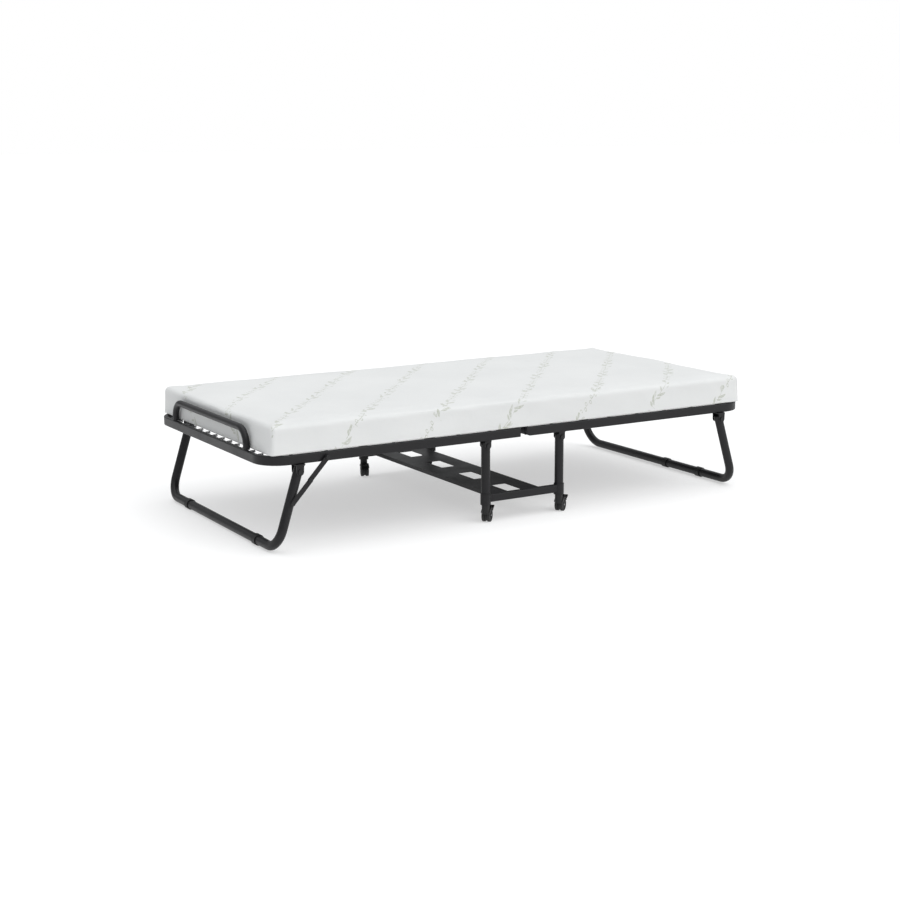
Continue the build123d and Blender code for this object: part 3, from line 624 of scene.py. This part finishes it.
# ----------------------------------------------------------------- deck cloth
DECK_Z = 0.3062
springs_at = {}
for half, sign in (("head", -1), ("foot", 1)):
    lo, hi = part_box(f"{half}_deck_cloth")
    x_in, x_out = (hi.x, lo.x) if sign < 0 else (lo.x, hi.x)
    deck_y = hi.y
    pitch = 0.060
    end_y = [pitch * (i - 6) for i in range(13)]
    run_x = [sign * (0.124 + 0.120 * i) for i in range(7)]
    springs_at[half] = (x_in, x_out, deck_y, end_y, run_x)

    def scallop(v, marks, depth):
        """The edge is drawn out at each spring and slack between them."""
        d = min(abs(v - a) for a in marks)
        return depth * (1 - math.exp(-((d / 0.018) ** 2)))

    nu, nv = 120, 116
    vs, fs = [], []
    cx, wx = (x_in + x_out) / 2, abs(x_out - x_in) / 2
    rc = 0.040
    for layer in (0, 1):
        for i in range(nu + 1):
            for j in range(nv + 1):
                a, b = -1 + 2 * i / nu, -1 + 2 * j / nv
                x, y = cx + a * wx, b * deck_y
                # rounded corners
                ex, ey = abs(x - cx) - (wx - rc), abs(y) - (deck_y - rc)
                if ex > 0 and ey > 0:
                    r = math.hypot(ex, ey)
                    m_ = max(ex, ey)
                    k = m_ / r if r > 0 else 1
                    x = cx + math.copysign(wx - rc + ex * k, x - cx)
                    y = math.copysign(deck_y - rc + ey * k, y)
                # scalloped edges, fading inwards
                fy = max(0.0, (abs(b) - 0.90) / 0.10)
                fx = max(0.0, (abs(a) - 0.90) / 0.10)
                y -= math.copysign(fy * scallop(x, run_x, 0.0045), y)
                x -= math.copysign(fx * scallop(y, end_y, 0.0030), x - cx)
                thick = 0.0007 if max(abs(a), abs(b)) < 0.955 else 0.00115
                z = DECK_Z - 0.0010 * math.cos(a * math.pi / 2) * math.cos(b * math.pi / 2)
                z += 0.00025 * math.sin(x * 61 + y * 23) + 0.0002 * math.sin(y * 83 - x * 17)
                vs.append((x, y, z + (thick if layer else -thick) - 0.0004))
    per = (nu + 1) * (nv + 1)
    vid = lambda i, j, l: l * per + i * (nv + 1) + j
    for i in range(nu):
        for j in range(nv):
            fs.append((vid(i, j, 1), vid(i + 1, j, 1), vid(i + 1, j + 1, 1), vid(i, j + 1, 1)))
            fs.append((vid(i, j, 0), vid(i, j + 1, 0), vid(i + 1, j + 1, 0), vid(i + 1, j, 0)))
    for i in range(nu):
        fs.append((vid(i, 0, 0), vid(i + 1, 0, 0), vid(i + 1, 0, 1), vid(i, 0, 1)))
        fs.append((vid(i, nv, 0), vid(i, nv, 1), vid(i + 1, nv, 1), vid(i + 1, nv, 0)))
    for j in range(nv):
        fs.append((vid(0, j, 0), vid(0, j, 1), vid(0, j + 1, 1), vid(0, j + 1, 0)))
        fs.append((vid(nu, j, 0), vid(nu, j + 1, 0), vid(nu, j + 1, 1), vid(nu, j, 1)))
    cloth_o = piece(f"{half}_deck_sheet", vs, fs, MAT["deck_cloth"], "deck_cloth")
    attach(cloth_o, f"{half}_half")
    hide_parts(f"{half}_deck_cloth")


# ------------------------------------------------------- tubes along a path
def tube(path, radius, sides=8, closed=False, caps=True):
    """Vertices and faces of a round tube along a list of points. The radius may change from point to point."""
    radii = radius if hasattr(radius, "__len__") else [radius] * len(path)
    pts = [Vector(p) for p in path]
    n = len(pts)
    vs, fs = [], []
    prev = None
    for i, p in enumerate(pts):
        a = pts[(i - 1) % n] if closed or i > 0 else pts[0]
        b = pts[(i + 1) % n] if closed or i < n - 1 else pts[-1]
        d = (b - a).normalized()
        if prev is None:
            ref = Vector((0, 0, 1)) if abs(d.z) < 0.9 else Vector((1, 0, 0))
            x = d.cross(ref).normalized()
        else:
            x = (prev - d * prev.dot(d)).normalized()
        prev = x
        y = d.cross(x)
        for k in range(sides):
            t = 2 * math.pi * k / sides
            vs.append(tuple(p + (x * math.cos(t) + y * math.sin(t)) * radii[i]))
    last = n if closed else n - 1
    for i in range(last):
        for k in range(sides):
            a, b = i * sides, ((i + 1) % n) * sides
            fs.append((a + k, a + (k + 1) % sides, b + (k + 1) % sides, b + k))
    if caps and not closed:
        fs.append(tuple(reversed(range(sides))))
        fs.append(tuple(range((n - 1) * sides, n * sides)))
    return vs, fs


def merged(name, parts, mat, slot, smooth=True):
    vs, fs = [], []
    for v, f in parts:
        base = len(vs)
        vs += v
        fs += [tuple(base + i for i in q) for q in f]
    return piece(name, vs, fs, mat, slot, smooth)


# --------------------------------------------------------------- coil springs
WIRE = 0.0007
for half, sign in (("head", -1), ("foot", 1)):
    x_in, x_out, deck_y, end_y, run_x = springs_at[half]
    coils, eyelets = [], []
    spots = []
    for y in end_y:
        spots.append((Vector((x_out + sign * 0.030, y, 0.3035)), Vector((-sign, 0, 0))))
    for y in end_y[::2]:
        spots.append((Vector((x_in - sign * 0.030, y, 0.3035)), Vector((sign, 0, 0))))
    for x in run_x:
        for t in (-1, 1):
            spots.append((Vector((x, t * (deck_y + 0.030), 0.3035)), Vector((0, -t, 0))))
    for start, d in spots:
        side_v = d.cross(Vector((0, 0, 1))).normalized()
        upv = Vector((0, 0, 1))
        R = 0.0036
        L0, L1 = 0.0075, 0.0235      # close-wound body
        turns = 9
        path = []
        # hook at the rail
        path.append(start + d * 0.0004 + upv * 0.0005)
        path.append(start + d * 0.0030 + upv * 0.0018)
        path.append(start + d * 0.0055 + upv * 0.0030)
        steps = turns * 10
        for i in range(steps + 1):
            a = 2 * math.pi * turns * i / steps
            path.append(start + d * (L0 + (L1 - L0) * i / steps) + side_v * math.sin(a) * R + upv * math.cos(a) * R)
        # hook through the cloth's eyelet
        path.append(start + d * 0.0262 + upv * 0.0032)
        path.append(start + d * 0.0300 + upv * 0.0038)
        path.append(start + d * 0.0345 + upv * 0.0036)
        path.append(start + d * 0.0365 + upv * 0.0022)
        path.append(start + d * 0.0368 + upv * 0.0004)
        path.append(start + d * 0.0350 - upv * 0.0008)
        coils.append(tube(path, WIRE, 6))
        # brass-coloured eyelet would be wrong here: black washer pressed in the hem
        c = start + d * 0.0355 + upv * 0.0034
        ring = [c + side_v * math.cos(a) * 0.0034 + d * math.sin(a) * 0.0034 for a in [2 * math.pi * k / 16 for k in range(16)]]
        eyelets.append(tube([r + upv * 0.0004 for r in ring], 0.0011, 6, closed=True))
        eyelets.append(tube([r - upv * 0.0032 for r in ring], 0.0011, 6, closed=True))
    o = merged(f"{half}_coil_springs", coils, MAT["spring_steel"], "spring_steel")
    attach(o, f"{half}_half")
    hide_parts(f"{half}_deck_springs")
    e = merged(f"{half}_deck_eyelets", eyelets, MAT["fastener_black"], "fastener_black")
    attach(e, f"{half}_half")
    hem = []
    cloth_o = bpy.data.objects[f"{half}_deck_sheet"]
    lo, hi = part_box(f"{half}_deck_cloth")

# ----------------------------------------------------------------- weld beads
def bead(path, r=0.0013, lumps=0.0022):
    """A weld bead with the small overlapping ripples of a hand weld."""
    pts = [Vector(p) for p in path]
    total = sum((b - a).length for a, b in zip(pts, pts[1:]))
    n = max(8, int(total / 0.0005))
    fine, radii = [], []
    cum = [0.0]
    for a, b in zip(pts, pts[1:]):
        cum.append(cum[-1] + (b - a).length)
    for i in range(n + 1):
        d = total * i / n
        k = min(len(pts) - 2, max(j for j in range(len(cum)) if cum[j] <= d + 1e-12))
        t = (d - cum[k]) / max(1e-9, cum[k + 1] - cum[k])
        fine.append(pts[k].lerp(pts[k + 1], t))
        end = min(1.0, 4 * min(i, n - i) / n + 0.35)
        radii.append(r * end * (0.86 + 0.14 * abs(math.sin(math.pi * d / lumps))))
    return tube(fine, radii, 8)


for half, sign in (("head", -1), ("foot", 1)):
    beads = []
    lo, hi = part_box(f"{half}_cross_tube")
    for t, y in ((-1, lo.y), (1, hi.y)):
        for x in (lo.x, hi.x):
            beads.append(bead([(x, y - t * 0.0004, lo.z + 0.002), (x, y - t * 0.0004, hi.z - 0.002)]))
        for z in (lo.z, hi.z):
            beads.append(bead([(lo.x + 0.002, y - t * 0.0004, z), (hi.x - 0.002, y - t * 0.0004, z)]))
    for node, wide in ((f"{half}_fold_clevises", 0.0115), (f"{half}_leg_brackets", 0.0130)):
        lo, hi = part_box(node)
        cx = (lo.x + hi.x) / 2
        for t, y in ((-1, lo.y), (1, hi.y)):
            if node.endswith("clevises"):
                beads.append(bead([(cx - wide, y, 0.2797), (cx + wide, y, 0.2797)]))
            for x in (lo.x, hi.x):
                beads.append(bead([(x, y - t * 0.004, 0.2797), (x, y - t * 0.013, 0.2797)]))
    if half == "head":
        lo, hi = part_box("mattress_retaining_bar")
        cx, r = (lo.x + hi.x) / 2, (hi.x - lo.x) / 2
        for y in (lo.y + r, hi.y - r):
            beads.append(bead([(cx - math.cos(a) * r, y + math.sin(a) * r, 0.3103) for a in [math.radians(v) for v in range(-100, 101, 5)]], 0.0017))
    o = merged(f"{half}_weld_beads", beads, MAT["frame_paint"], "frame_paint")
    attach(o, f"{half}_half")

beads = []
for t in (-1, 1):
    y = t * 0.4200
    for x0, x1 in ((-0.094, -0.060), (-0.018, 0.018), (0.060, 0.094)):
        beads.append(bead([(x0, y - t * 0.0002, 0.0843), (x1, y - t * 0.0002, 0.0843)], 0.0015))
o = merged("centre_weld_beads", beads, MAT["frame_paint"], "frame_paint")
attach(o, "center_frame")

# ---------------------------------------------------------------- the stage
floor_mat = Tree("pale_floor")
fc = floor_mat.coords()
fn = floor_mat.noise(fc, 0.8, 3.0)
floor_mat.set(Base_Color=floor_mat.mix(fn, (0.50, 0.50, 0.502), (0.52, 0.52, 0.52)), Roughness=0.8)
floor_mat.bsdf.inputs["Specular IOR Level"].default_value = 0.05
floor_mat.bsdf.inputs["Emission Color"].default_value = (1, 1, 1, 1)
floor_mat.bsdf.inputs["Emission Strength"].default_value = 0.50
S = 60.0
floor = piece("floor", [(-S, -S, 0), (S, -S, 0), (S, S, 0), (-S, S, 0)], [(0, 1, 2, 3)], floor_mat.mat, "frame_paint", False)
del floor["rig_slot"]
